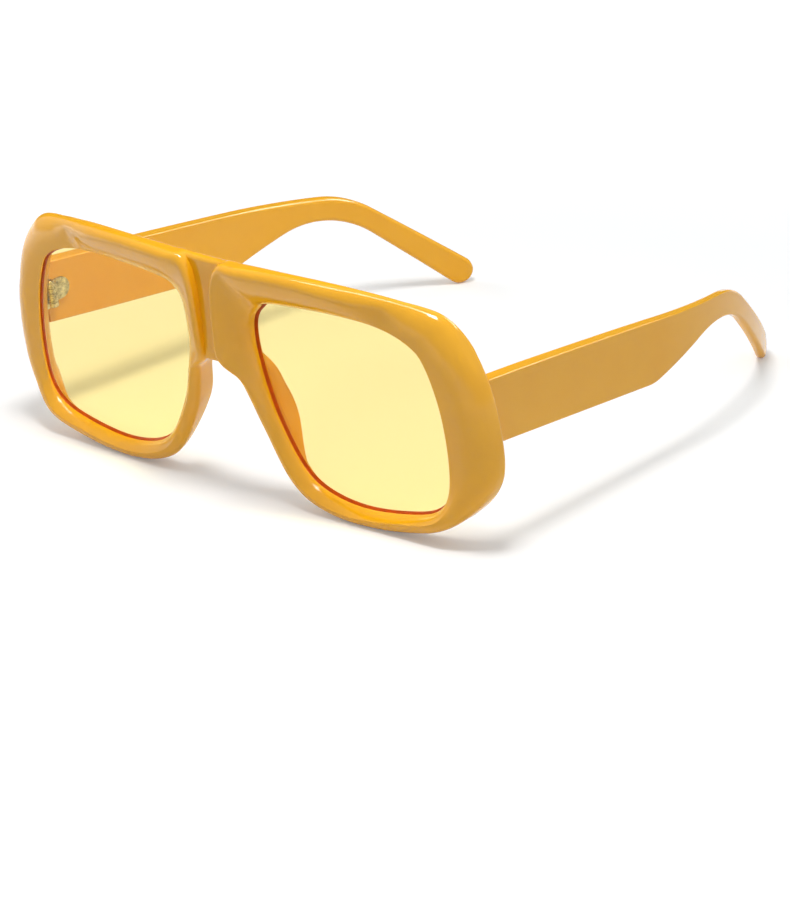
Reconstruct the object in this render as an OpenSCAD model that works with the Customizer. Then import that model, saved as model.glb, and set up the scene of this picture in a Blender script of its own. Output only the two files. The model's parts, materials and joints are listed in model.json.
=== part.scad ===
// Oversized moulded sunglasses with tinted lenses and folding temples.
// The glasses stand on the lower edges of the rims and on the temple tips.
// +Z is up, the front faces -Y, and +X is the wearer's left.

/* [Lenses] */
// Width of one lens opening
lens_w = 55.4; // [50:0.2:60]
// Height of one lens opening
lens_h = 47; // [42:0.2:50]
// Distance between the two lens openings
bridge_w = 19.3; // [17:0.1:23]
// Thickness of the lens
lens_t = 1.6; // [1.2:0.1:2]
// Depth of the groove that holds the lens
groove_depth = 0.9; // [0.6:0.1:1.2]

/* [Front] */
// Breadth of the rim at the temple side
rim_side = 9.95; // [9:0.05:12]
// Breadth of the rim over the lens
rim_top = 7.7; // [6.5:0.1:9]
// Breadth of the rim under the lens
rim_low = 4.4; // [3.6:0.1:5.6]
// Depth from the lens openings to the land that the temples close on
front_depth = 9.2; // [8.6:0.1:10.5]
// How far the bridge's face stands in front of the lens openings
face_rise = 6; // [4.5:0.1:7]
// How far the lens openings sweep back from the middle to the ends of the front
front_bow = 2.3; // [0.8:0.1:3]
// Radius of the soft outer edge at the ends of the front
front_round = 6; // [4.5:0.1:7]
// Radius of the rim's lip round the opening
lip_r = 1.1; // [0.7:0.1:1.3]
// Width of the recessed channel down the middle of the bridge
channel_w = 3.5; // [2.5:0.1:4.5]
// Depth of the channel at the top of the bridge, below the faces of the rims
channel_depth = 2.4; // [1.2:0.1:3]

/* [Temples] */
// Length of a temple from its butt to its tip, along its outer face
temple_len = 128; // [115:0.5:140]
// Height of a temple at its root
temple_h = 15.3; // [13:0.1:16.5]
// Thickness of a temple
temple_t = 3.8; // [3.2:0.1:4.6]
// Height of the root's centre above the bottom of the rims
temple_z = 31.2; // [29:0.1:33]
// How far the temple's outer face stands in from the end of the front
temple_set = 3.3; // [2.8:0.1:4.2]
// Angle at which a temple runs in from square to the front, in degrees
temple_in = 2.6; // [1:0.1:3.4]
// Downward slope of the temple from square to the front, in degrees
pantoscopic = 9.1; // [5:0.2:11]
// Distance from the butt to the start of the inward curve
bend_start = 60; // [50:1:75]
// Radius of the inward curve
bend_r = 122; // [105:1:160]
// Length of the part that hangs over the ear
ear_len = 31.6; // [28:0.2:36]
// How far the centre of the tip hangs below the bend over the ear
ear_drop = 27; // [24:0.2:32]
// Radius of the bend over the ear
ear_r = 30; // [22:1:36]
// Width of the temple tip
tip_w = 7; // [6:0.1:8.4]
// Radius of the temple's long edges
temple_edge = 0.7; // [0.4:0.1:1.1]

/* [Hinges] */
// Outside diameter of the hinge barrel
barrel_d = 3; // [2.6:0.1:3.2]
// Height of the hinge barrel
barrel_h = 6; // [5:0.1:7]
// Diameter of the hinge screw's shank
screw_d = 1.2; // [1:0.1:1.4]
// Radial clearance of the screw in the knuckles
screw_clear = 0.04; // [0.02:0.01:0.08]
// Reach of the hinge plate along the temple, from the barrel's axis
plate_len = 6.7; // [5.8:0.1:9]
// Height of the hinge plate
plate_h = 5.4; // [4.4:0.1:6]
// Thickness of the hinge plate that stands on the temple
plate_t = 0.55; // [0.4:0.05:0.8]

/* [Hidden] */

mustard = "#E0A63A";
amber = [1, 0.93, 0.5, 0.6];
nickel = "#C9C6BE";

// Overrun of every cut
cut = 1;
// Sides of an exact round, and of the long radius that the lenses follow
round_fn = 48;
face_fn = 1440;
// Steps between two rows of the rim tables
rim_steps = 4;
// Steps round the soft outer edge of the rim, across its face, behind it and round small edges
edge_steps = 5;
face_steps = 6;
slope_steps = 4;
rear_steps = 3;
// Steps along the temple, round its tip and round each of its long edges
temple_steps = 30;
tip_steps = 6;
bend_steps = 10;
corner_steps = 3;

// Gap all round the lens in its groove
lens_clear = 0.05;
// Distance of the groove behind the opening's front edge
groove_set = 0.45;
// Wall behind the groove, chamfer of the opening's rear edge, and radius of the rear outer edge
rear_wall = 0.7;
rear_lip = 0.35;
rear_round = 0.9;
// How far the bridge's web reaches into the rims
web_bite = 2.5;
// Dip of the bridge below the brow, and height and width of the channel's flare there
bridge_dip = 0.7;
flare_h = 4.1;
flare_w = 18;
// Radius of the web's top and bottom edges
web_r = 1;
// Gap between the temple's butt and the front's land
butt_gap = 0.05;
// Distance from the butt to the knee in the temple's lower edge, and its radius
knee_at = 57;
knee_r = 12;
// Height of the temple's neck, and its distance in front of the bend over the ear
neck_h = 2.5;
neck_back = 5.5;
// Gap between neighbouring knuckles, and from the barrel to the temple and to the front
knuckle_gap = 0.06;
barrel_gap = 0.2;
// Gap round a leaf's anchor in its pocket
pocket_gap = 0.02;
// Width and depth of the anchor in the front, and its place outside the barrel's axis
anchor_w = 1.5;
anchor_depth = 2.4;
anchor_out = 0.2;
// Depth of the anchor in the temple, and its margin inside the plate
stud_depth = 1.4;
stud_margin = 0.6;
// Head of the hinge screw, its slot, and how far the shank stands out below
head_d = 2.3;
head_h = 0.55;
slot_w = 0.35;
slot_depth = 0.25;
screw_out = 0.4;

half_w = bridge_w / 2 + lens_w + rim_side;
nose_reach = (bridge_w - channel_w) / 2;
face_r = (half_w * half_w + front_bow * front_bow) / (2 * front_bow);
groove_back = groove_set + lens_t + 2 * lens_clear;
barrel_r = barrel_d / 2;
face_x = barrel_r + barrel_gap;
hinge_x = half_w - temple_set - (face_x + temple_t) * cos(temple_in);
knuckle_h = (barrel_h - 4 * knuckle_gap) / 5;

// Left rim, walked from the nose over the brow, down the temple side and back under the lens.
// Each row is a point of the opening and the breadth of the rim from there to the outline:
// [x share of lens_w, z share of lens_h, x share of rim_side or towards the nose of nose_reach,
//  z share of rim_top or downwards of rim_low]
rim_shares = [
  [0.114, 0.944, -0.614, 1.223],
  [0.298, 0.962, -0.164, 1.146],
  [0.514, 0.968, 0.063, 1.001],
  [0.708, 0.950, 0.309, 0.839],
  [0.845, 0.893, 0.668, 0.852],
  [0.912, 0.806, 0.841, 0.497],
  [0.968, 0.600, 1.012, 0.267],
  [0.987, 0.352, 1.028, -0.266],
  [0.966, 0.163, 0.807, -0.099],
  [0.889, 0.061, 0.463, -0.581],
  [0.722, 0.006, 0.312, -0.864],
  [0.501, -0.018, -0.040, -0.820],
  [0.314, 0.019, -0.266, -0.814],
  [0.194, 0.116, -0.397, -0.697],
  [0.090, 0.328, -0.512, -0.379],
  [0.037, 0.510, -0.651, 0.114],
  [0.015, 0.634, -0.997, -0.277],
  [0.005, 0.733, -0.998, -0.430],
  [0.013, 0.838, -0.977, 0.855],
  [0.052, 0.904, -0.926, 1.337]
];
// Form of the rim's section at each of those rows:
// [how far the face's crest stands in front of the opening, as a share of face_rise,
//  how far the rim's back lies from the crest to the land, as a share,
//  end of the slope behind the opening, as a share of the breadth, towards the lens if negative,
//  radius of the front edge and draw of the rear edge, as shares of front_round]
form_shares = [
  [1.015, 0.320, 0.850, 0.330, 0.030],
  [0.876, 0.290, 0.850, 0.330, 0.020],
  [0.588, 0.350, 0.800, 0.441, 0.020],
  [-0.059, 0.420, 0.680, 0.610, 0.000],
  [-0.454, 0.620, 0.450, 0.525, 0.000],
  [-0.207, 1.000, 0.420, 0.488, 0.000],
  [0.020, 1.000, 0.420, 1.126, 0.000],
  [-0.053, 1.000, 0.450, 1.010, 0.000],
  [0.157, 1.000, 0.550, 0.973, 0.000],
  [0.422, 0.690, 0.500, 0.525, 0.000],
  [0.439, 0.510, 0.450, 0.595, 0.000],
  [0.478, 0.460, 0.450, 0.370, 0.000],
  [0.470, 0.490, 0.400, 0.370, 0.050],
  [0.422, 0.477, 0.100, 0.370, 0.135],
  [0.389, 0.740, -0.270, 0.370, 0.300],
  [0.589, 0.677, -0.350, 0.330, 0.434],
  [0.846, 0.620, 0.100, 0.270, 0.167],
  [0.979, 0.460, 0.500, 0.200, 0.000],
  [0.990, 0.370, 0.850, 0.220, 0.000],
  [0.969, 0.330, 0.850, 0.300, 0.000]
];
// Height of the nose arch above the opening's lowest point, as a share of lens_h
arch_share = 0.609;
// Depth of the channel at the arch, as a share of channel_depth
channel_share = 0.33;
// Height of the temple at its knee, as a share of temple_h
knee_share = 0.957;
// Limits of a round edge, as shares of the wall that carries it
wall_share = 0.95;
edge_share = 0.45;

function unit(v) = v / norm(v);
// Point of a Catmull-Rom curve between b and c
function through(a, b, c, d, t) =
  b + (c - a) * t / 2
  + (2 * a - 5 * b + 4 * c - d) * t * t / 2
  + (3 * b - a - 3 * c + d) * t * t * t / 2;
// Closed smooth curve through rows of numbers
function closed_curve(rows, steps) = let (n = len(rows)) [
  for (i = [0 : n - 1], k = [0 : steps - 1])
    through(rows[(i + n - 1) % n], rows[i], rows[(i + 1) % n], rows[(i + 2) % n], k / steps)
];
// Quadratic curve from a to c, drawn towards b
function drawn(a, b, c, t) = (1 - t) * (1 - t) * a + 2 * t * (1 - t) * b + t * t * c;
function arc(centre, r, from, to, steps) = [
  for (k = [0 : steps])
    let (a = from + (to - from) * k / steps) centre + r * [cos(a), sin(a)]
];
// Corner at b between a and c, rounded to a radius
function corner(a, b, c, r, steps) =
  let (
    u = unit(a - b),
    v = unit(c - b),
    half = acos(u * v) / 2,
    centre = b + unit(u + v) * r / sin(half),
    start = b + u * r / tan(half) - centre,
    from = atan2(start[1], start[0]),
    turn = (180 - 2 * half) * sign(v[0] * u[1] - v[1] * u[0])
  ) arc(centre, r, from, from + turn, steps);

rim_rows = [for (i = [0 : len(rim_shares) - 1]) concat(rim_shares[i], form_shares[i])];
rim_stations = closed_curve(rim_rows, rim_steps);

// Sweep of the lens openings behind the middle of the front
function bow(x) = face_r - sqrt(face_r * face_r - x * x);
function opening_point(s) = [bridge_w / 2 + s[0] * lens_w, rim_low + s[1] * lens_h];
function outline_point(s) = opening_point(s)
  + [s[2] * (s[2] < 0 ? nose_reach : rim_side), s[3] * (s[3] < 0 ? rim_low : rim_top)];
// Depth of the crest of the rim's face, and of the rim's back
function crest_depth(s) = bow(opening_point(s)[0]) - s[4] * face_rise;
function back_depth(s) = let (c = crest_depth(s)) c + min(1, s[5]) * (front_depth - c);
// Points of a section: behind the swept openings, or square behind the middle of the front
function swept(p, v) = [p[0], bow(p[0]) + v, p[1]];
function square_on(p, v) = [p[0], v, p[1]];
// Closed section of the rim, from the opening's rear edge round the back, side and face
function rim_section(s) =
  let (
    a = opening_point(s),
    b = outline_point(s),
    w = norm(b - a),
    d = unit(b - a),
    lip = bow(a[0]),
    rear = lip + groove_back + rear_wall,
    crest = crest_depth(s),
    deep = back_depth(s),
    back = w - max(0, s[8]) * front_round - rear_round,
    slope = min(s[6] * w, wall_share * back),
    r = min(s[7] * front_round, wall_share * (w - lip_r), wall_share * (deep - rear_round - crest)),
    top = min(crest, lip),
    wide = min(wall_share * (w - lip_r), r + 3 * (crest - top)),
    tall = r + crest - top,
    start = [max(-rear_lip, min(rear_lip, slope / 3)), rear],
    crown = [slope * 9 / 20, rear + max(0, deep - rear) * 4 / 5],
    hollow = [lip_r / 3, top + (lip - top) * 9 / 20]
  ) concat(
    [square_on(a, rear - rear_lip)],
    [for (k = [0 : slope_steps])
      let (q = drawn(start, crown, [slope, deep], k / slope_steps)) square_on(a + d * q[0], q[1])],
    [for (q = arc([back, deep - rear_round], rear_round, 90, 0, rear_steps))
      square_on(a + d * q[0], q[1])],
    [for (k = [0 : edge_steps])
      let (turn = 90 * k / edge_steps)
      square_on(a + d * (w - wide + wide * cos(turn)), top + tall - tall * sin(turn))],
    [for (k = [1 : face_steps])
      let (q = drawn([w - wide, top], hollow, [0, lip], k / face_steps)) square_on(a + d * q[0], q[1])],
    [swept(a, groove_set), swept(a + d * groove_depth, groove_set),
     swept(a + d * groove_depth, groove_back), swept(a, groove_back)]
  );
rim_sections = [for (s = rim_stations) rim_section(s)];

// Side view of the temple, from the barrel's axis back and from the root's centre up
top_at_ear = temple_len - ear_len;
fall = tan(pantoscopic);
tip_r = tip_w / 2;
root_top = [0, temple_h / 2];
root_low = [0, -temple_h / 2];
ear_top = [top_at_ear, temple_h / 2 - top_at_ear * fall];
tip_centre = [temple_len - tip_r, ear_top[1] - ear_drop];
neck = [top_at_ear - neck_back, ear_top[1] + neck_back * fall - neck_h];
knee = [knee_at, temple_h / 2 - knee_at * fall - knee_share * temple_h];
// Angle on the tip's round at which a line from p touches it, above or below
function touch(p, way) =
  let (v = tip_centre - p) atan2(v[1], v[0]) + way * acos(-tip_r / norm(v));
tip_above = touch(ear_top, 1);
tip_below = touch(neck, -1);
top_line = concat([root_top],
  corner(root_top, ear_top, ear_top + [cos(tip_above - 90), sin(tip_above - 90)], ear_r, bend_steps),
  arc(tip_centre, tip_r, tip_above, 0, 2 * tip_steps));
low_line = concat([root_low],
  corner(root_low, knee, neck, knee_r, bend_steps),
  corner(knee, neck, neck + [cos(tip_below + 90), sin(tip_below + 90)], ear_r, bend_steps),
  arc(tip_centre, tip_r, tip_below, 0, 2 * tip_steps));
// Stations along the temple: the root, the straight to the knee, the bends and the tip
bends_from = low_line[1][0];
temple_stations = concat([0],
  [for (k = [0 : temple_steps]) bends_from + (tip_centre[0] - bends_from) * k / temple_steps],
  [for (k = [1 : tip_steps]) tip_centre[0] + tip_r * sin(90 * (k - 0.1) / tip_steps)]);
// Point of a temple's section in plan, inwards from its outer face
function plan(s, inward) =
  let (
    a = max(0, s - bend_start) / bend_r * 180 / PI,
    reach = bend_r - inward
  ) [face_x + temple_t - bend_r + reach * cos(a), min(s, bend_start) + reach * sin(a)];
// The butt is square to the front, while the temple runs in at its own angle
function on_butt(p) = [p[0], (butt_gap - p[0] * sin(temple_in)) / cos(temple_in)];
function temple_section(s) =
  let (
    high = lookup(s, top_line),
    low = lookup(s, low_line),
    e = min(temple_edge, edge_share * (high - low)),
    left = max(0, temple_edge - temple_len + s),
    inset = temple_edge - sqrt(temple_edge * temple_edge - left * left),
    outline = concat(
      arc([inset + e, high - e], e, 180, 90, corner_steps),
      arc([temple_t - inset - e, high - e], e, 90, 0, corner_steps),
      arc([temple_t - inset - e, low + e], e, 0, -90, corner_steps),
      arc([inset + e, low + e], e, -90, -180, corner_steps))
  ) [for (q = outline)
      let (p = s == 0 ? on_butt(plan(s, q[0])) : plan(s, q[0])) [p[0], p[1], q[1]]];
temple_sections = [for (s = temple_stations) temple_section(s)];

// How the glasses stand: tilted until the rims and the temple tips rest on one plane
front_points = [for (section = rim_sections, p = section) p];
temple_points = [for (section = temple_sections, p = section) [
  hinge_x + p[0] * cos(temple_in) - p[1] * sin(temple_in),
  front_depth + p[0] * sin(temple_in) + p[1] * cos(temple_in),
  temple_z + p[2]]];
function lowest(points, t) = min([for (p = points) p[1] * sin(t) + p[2] * cos(t)]);
function backs(points, t) = [for (p = points) p[1] * cos(t) - p[2] * sin(t)];
function settled(t, rounds) = rounds == 0 ? t :
  settled(t + (lowest(front_points, t) - lowest(temple_points, t)) / temple_len * 180 / PI, rounds - 1);
tilt = settled(0, 8);
rise = -lowest(front_points, tilt);
mid_y = (min(backs(front_points, tilt)) + max(backs(temple_points, tilt))) / 2;
brow_z = max([for (p = front_points) p[2]]);

module standing() {
  translate([0, -mid_y, rise]) rotate([tilt, 0, 0]) children();
}
module on_side(side) {
  standing() mirror([side == "left" ? 0 : 1, 0, 0]) children();
}
// Frame of a hinge: its origin is on the barrel's axis, at the middle of the barrel
module at_hinge() {
  translate([hinge_x, front_depth, temple_z]) children();
}
module at_temple() {
  at_hinge() rotate([0, 0, temple_in]) children();
}

// Solid through closed sections that follow each other in a ring
module ring_loft(sections) {
  n = len(sections);
  m = len(sections[0]);
  polyhedron(
    points = [for (s = sections, p = s) p],
    faces = [for (i = [0 : n - 1], j = [0 : m - 1], half = [0, 1])
      let (i2 = (i + 1) % n, j2 = (j + 1) % m)
      half == 0 ? [i * m + j, i2 * m + j, i * m + j2] : [i2 * m + j, i2 * m + j2, i * m + j2]],
    convexity = 10);
}
// Solid through closed sections that follow each other in a row
module row_loft(sections) {
  n = len(sections);
  m = len(sections[0]);
  polyhedron(
    points = [for (s = sections, p = s) p],
    faces = concat(
      [[for (j = [m - 1 : -1 : 0]) j]],
      [for (i = [0 : n - 2], j = [0 : m - 1], half = [0, 1])
        let (j2 = (j + 1) % m)
        half == 0 ? [i * m + j, i * m + j2, (i + 1) * m + j]
          : [(i + 1) * m + j, i * m + j2, (i + 1) * m + j2]],
      [[for (j = [0 : m - 1]) (n - 1) * m + j]]),
    convexity = 10);
}

// Recessed web that joins the two rims over the nose
module bridge_web() {
  arch_z = rim_low + arch_share * lens_h;
  top_z = brow_z - bridge_dip;
  half = channel_w / 2 + web_bite;
  nose_rows = [for (i = [16 : 19]) rim_rows[i]];
  low_y = crest_depth(nose_rows[0]) + channel_share * channel_depth;
  high_y = crest_depth(nose_rows[3]) + channel_depth;
  profile = concat(
    arc([low_y + web_r, arch_z + web_r], web_r, 180, 270, rear_steps),
    arc([back_depth(nose_rows[0]) - web_r, arch_z + web_r], web_r, 270, 360, rear_steps),
    [for (s = [nose_rows[1], nose_rows[2]]) [back_depth(s), outline_point(s)[1]]],
    arc([back_depth(nose_rows[3]) - web_r, top_z - web_r], web_r, 0, 90, rear_steps),
    arc([high_y + web_r, top_z - web_r], web_r, 90, 180, rear_steps));
  intersection() {
    rotate([90, 0, 90]) linear_extrude(flare_w, center = true) polygon(profile);
    translate([0, front_depth + cut, 0]) rotate([90, 0, 0])
      linear_extrude(front_depth + 2 * face_rise + 2 * cut)
        polygon([[-half, 0], [half, 0], [half, top_z - flare_h], [flare_w / 2, top_z + cut],
          [-flare_w / 2, top_z + cut], [-half, top_z - flare_h]]);
  }
}
// Room in the front for the barrel and for the anchor of its leaf
module hinge_seat() {
  at_hinge() {
    cylinder(r = face_x, h = barrel_h + 2 * (head_h + barrel_gap), center = true, $fn = round_fn);
    translate([anchor_out - anchor_w / 2 - pocket_gap, -face_x - anchor_depth - pocket_gap,
      -barrel_h / 2 - pocket_gap])
      cube([anchor_w + 2 * pocket_gap, face_x + anchor_depth, barrel_h + 2 * pocket_gap]);
  }
}
module front_frame() {
  color(mustard) standing() difference() {
    union() {
      ring_loft(rim_sections);
      mirror([1, 0, 0]) ring_loft(rim_sections);
      bridge_web();
    }
    hinge_seat();
    mirror([1, 0, 0]) hinge_seat();
  }
}

// Lens, ground to the outline of the groove and to the sweep of the front
module lens(side) {
  edge = groove_depth - lens_clear;
  face_y = face_r + groove_set + lens_clear;
  color(amber) on_side(side) intersection() {
    translate([0, front_depth, 0]) rotate([90, 0, 0]) linear_extrude(front_depth)
      polygon([for (s = rim_stations)
        opening_point(s) + edge * unit(outline_point(s) - opening_point(s))]);
    difference() {
      translate([0, face_y, 0]) cylinder(r = face_r, h = brow_z, $fn = face_fn);
      translate([0, face_y + lens_t, -cut]) cylinder(r = face_r, h = brow_z + 2 * cut, $fn = face_fn);
    }
  }
}

// Outline of a hinge plate: square at the barrel and round at its far end
module plate_outline(margin) {
  far = plate_len - plate_h / 2;
  r = plate_h / 2 - margin;
  translate([face_x + margin, -r]) square([far - face_x - margin, 2 * r]);
  translate([far, 0]) circle(r = r, $fn = round_fn);
}
module temple(side) {
  color(mustard) on_side(side) at_temple() difference() {
    row_loft(temple_sections);
    translate([face_x - cut, 0, 0]) rotate([90, 0, 90])
      linear_extrude(cut + stud_depth + pocket_gap) plate_outline(stud_margin - pocket_gap);
  }
}

module knuckles(first) {
  for (i = [first : 2 : 4])
    translate([0, 0, i * (knuckle_h + knuckle_gap) - barrel_h / 2])
      cylinder(d = barrel_d, h = knuckle_h, $fn = round_fn);
}
module knuckle_bore() {
  cylinder(r = screw_d / 2 + screw_clear, h = barrel_h + 2 * cut, center = true, $fn = round_fn);
}
// Leaf with three knuckles, whose anchor is set in the front
module front_hinge_leaf(side) {
  color(nickel) on_side(side) at_hinge() difference() {
    union() {
      knuckles(0);
      for (i = [0 : 2 : 4])
        translate([anchor_out - anchor_w / 2, -face_x - anchor_depth / 2,
          i * (knuckle_h + knuckle_gap) - barrel_h / 2])
          cube([anchor_w, face_x + anchor_depth / 2, knuckle_h]);
      translate([anchor_out - anchor_w / 2, -face_x - anchor_depth, -barrel_h / 2])
        cube([anchor_w, anchor_depth, barrel_h]);
    }
    knuckle_bore();
  }
}
// Leaf with two knuckles, whose plate lies on the temple and whose stud is set in it
module temple_hinge_leaf(side) {
  color(nickel) on_side(side) at_temple() difference() {
    union() {
      knuckles(1);
      for (i = [1, 3])
        translate([0, barrel_gap, i * (knuckle_h + knuckle_gap) - barrel_h / 2])
          cube([face_x, face_x, knuckle_h]);
      translate([face_x - plate_t, 0, 0]) rotate([90, 0, 90])
        linear_extrude(plate_t) plate_outline(0);
      translate([face_x - plate_t, 0, 0]) rotate([90, 0, 90])
        linear_extrude(plate_t + stud_depth) plate_outline(stud_margin);
    }
    knuckle_bore();
  }
}
module hinge_screw(side) {
  color(nickel) on_side(side) at_hinge() difference() {
    union() {
      translate([0, 0, -barrel_h / 2 - screw_out])
        cylinder(d = screw_d, h = barrel_h + screw_out + pocket_gap + head_h / 2, $fn = round_fn);
      translate([0, 0, barrel_h / 2 + pocket_gap]) cylinder(d = head_d, h = head_h, $fn = round_fn);
    }
    translate([-head_d, -slot_w / 2, barrel_h / 2 + pocket_gap + head_h - slot_depth])
      cube([2 * head_d, slot_w, slot_depth + cut]);
  }
}

front_frame();
lens("left");  // lens_left
lens("right");  // lens_right
temple("left");  // temple_left
temple("right");  // temple_right
front_hinge_leaf("left");  // front_hinge_leaf_left
front_hinge_leaf("right");  // front_hinge_leaf_right
temple_hinge_leaf("left");  // temple_hinge_leaf_left
temple_hinge_leaf("right");  // temple_hinge_leaf_right
hinge_screw("left");  // hinge_screw_left
hinge_screw("right");  // hinge_screw_right
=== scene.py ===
import json
from collections import namedtuple
from math import acos, atan2, cos, degrees, pi, radians, sin, sqrt, tan

import bmesh
import bpy
from bpy.props import FloatProperty, FloatVectorProperty, PointerProperty
from mathutils import Matrix, Vector


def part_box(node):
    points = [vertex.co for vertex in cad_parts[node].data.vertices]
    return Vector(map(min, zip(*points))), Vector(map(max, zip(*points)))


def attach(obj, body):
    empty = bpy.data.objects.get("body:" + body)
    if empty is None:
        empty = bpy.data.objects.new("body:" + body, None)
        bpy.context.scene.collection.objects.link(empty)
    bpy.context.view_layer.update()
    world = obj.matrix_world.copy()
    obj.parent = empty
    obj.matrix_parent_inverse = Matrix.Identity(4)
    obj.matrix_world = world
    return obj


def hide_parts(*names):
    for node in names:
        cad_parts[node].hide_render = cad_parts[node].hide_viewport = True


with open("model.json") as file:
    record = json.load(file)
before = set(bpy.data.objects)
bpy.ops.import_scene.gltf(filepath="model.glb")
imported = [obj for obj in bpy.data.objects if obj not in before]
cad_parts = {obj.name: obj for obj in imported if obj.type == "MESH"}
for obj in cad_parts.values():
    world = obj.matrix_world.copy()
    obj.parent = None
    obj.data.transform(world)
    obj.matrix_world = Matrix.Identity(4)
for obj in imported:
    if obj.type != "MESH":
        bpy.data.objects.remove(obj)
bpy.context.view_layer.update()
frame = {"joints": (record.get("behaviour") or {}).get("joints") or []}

bl_info = {
    "name": "Oversized sunglasses",
    "version": (1, 0, 0),
    "blender": (4, 5, 0),
    "location": "3D View > Sidebar > Sunglasses",
    "description": "Finished sunglasses: moulded front and temples, tinted lenses, plated hinges",
    "category": "Object",
}

JOINTS = {joint["name"]: joint for joint in frame["joints"]}
MM = 0.001
SIDES = ("left", "right")
MIRROR = Matrix.Scale(-1, 4, Vector((1, 0, 0)))
KNUCKLES = 5

# Steps between two rows of the rim tables, and round each part of the rim's section
RIM_STEPS = 12
SLOPE_STEPS = 10
REAR_STEPS = 6
EDGE_STEPS = 12
FACE_STEPS = 14
WEB_STEPS = 8
# Steps along the temple's root and the rest of it, round its tip, its bends and its long edges
ROOT_STEPS = 8
TEMPLE_STEPS = 90
TIP_STEPS = 12
BEND_STEPS = 20
CORNER_STEPS = 7
# Rings across a lens, sides of a turned piece, and steps round a hinge plate and a screw head
LENS_RINGS = 14
ROUND_SIDES = 64
PLATE_STEPS = 24
HEAD_STEPS = 5

# Small fits and edges that a user leaves alone
LENS_CLEAR = 0.05 * MM
LENS_BEVEL = 0.2 * MM
GROOVE_SET = 0.45 * MM
REAR_WALL = 0.7 * MM
REAR_LIP = 0.35 * MM
REAR_ROUND = 0.9 * MM
WEB_BITE = 2.5 * MM
BRIDGE_DIP = 0.7 * MM
FLARE_H = 4.1 * MM
FLARE_W = 18 * MM
WEB_R = 1 * MM
BUTT_GAP = 0.05 * MM
BUTT_EDGE = 0.12 * MM
KNEE_AT = 57 * MM
KNEE_R = 12 * MM
NECK_H = 2.5 * MM
NECK_BACK = 5.5 * MM
KNUCKLE_GAP = 0.06 * MM
BARREL_GAP = 0.2 * MM
POCKET_GAP = 0.02 * MM
ANCHOR_W = 1.5 * MM
ANCHOR_DEPTH = 2.4 * MM
ANCHOR_OUT = 0.2 * MM
STUD_DEPTH = 1.4 * MM
STUD_MARGIN = 0.6 * MM
HEAD_D = 2.3 * MM
HEAD_H = 0.55 * MM
SLOT_W = 0.35 * MM
SLOT_DEPTH = 0.25 * MM
SCREW_OUT = 0.4 * MM
METAL_EDGE = 0.1 * MM
# Band of the lens next to its edge that takes the ground edge's colour: the seat in the groove, and
# past the groove a painted shade of the gap between lens and rim
GROUND_AND_PAINTED_SHADE_BAND = 1.25 * MM
# How far the webs of a leaf stay inside its other faces, so that none coincide
WEB_SINK = 0.01 * MM
# Share of a broken edge at which its middle point stands in, and the least turn in degrees of
# an edge of the plate that is broken
EDGE_MIDDLE = 0.3
PLATE_SHARP = 50
# The temple's thickness shrinks from here to its tip, faster at first
THIN_FROM = 14 * MM
THIN_BY = 1.4 * MM
THIN_CURVE = 0.6
# Its long edges grow softer over these shares of the way, on the outer and on the inner side
ROOT_EDGE = 0.32 * MM
TIP_EDGE = 1.16 * MM
OUTER_SOFTENS = (0.6, 0.85)
INNER_SOFTENS = (0.3, 0.7)
# Its upper line is crowned between root and ear, and its top slopes inwards
TOP_CROWN = 0.45 * MM
CROWN_POWER = 0.7
TOP_DRAFT = radians(1.5)
# Rounding of the tip's end, how far short of it the last section stands as a share of a step,
# and half of the least flat that two edges leave between them
TIP_ROUND = 0.6
TIP_SHORT = 0.1
LEAST_FLAT = 0.02 * MM
# Place of the points just inside each flat, as a share of it, and the most that it comes to
FLAT_SHARE = 0.12
FLAT_MOST = 0.25 * MM

# One row of the rim: the opening as shares of the lens, the rim's breadth from there as shares,
# then its section: rise of the face, place of the back, end of the rear slope, radius of the
# front edge and draw of the rear edge
Row = namedtuple("Row", "x z broad_x broad_z rise back slope edge draw")

# Left rim from the nose over the brow, down the temple side and back under the lens:
# opening x and z, then breadth in x and z
RIM_SHARES = [
    (0.114, 0.944, -0.614, 1.223), (0.298, 0.962, -0.164, 1.146), (0.514, 0.968, 0.063, 1.001),
    (0.708, 0.95, 0.309, 0.839), (0.845, 0.893, 0.668, 0.852), (0.912, 0.806, 0.841, 0.497),
    (0.968, 0.6, 1.012, 0.267), (0.987, 0.352, 1.028, -0.266), (0.966, 0.163, 0.807, -0.099),
    (0.889, 0.061, 0.463, -0.581), (0.722, 0.006, 0.312, -0.864), (0.501, -0.018, -0.04, -0.82),
    (0.314, 0.019, -0.266, -0.814), (0.194, 0.116, -0.397, -0.697), (0.09, 0.328, -0.512, -0.379),
    (0.037, 0.51, -0.651, 0.114), (0.015, 0.634, -0.997, -0.277), (0.005, 0.733, -0.998, -0.43),
    (0.013, 0.838, -0.977, 0.855), (0.052, 0.904, -0.926, 1.337),
]
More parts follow.
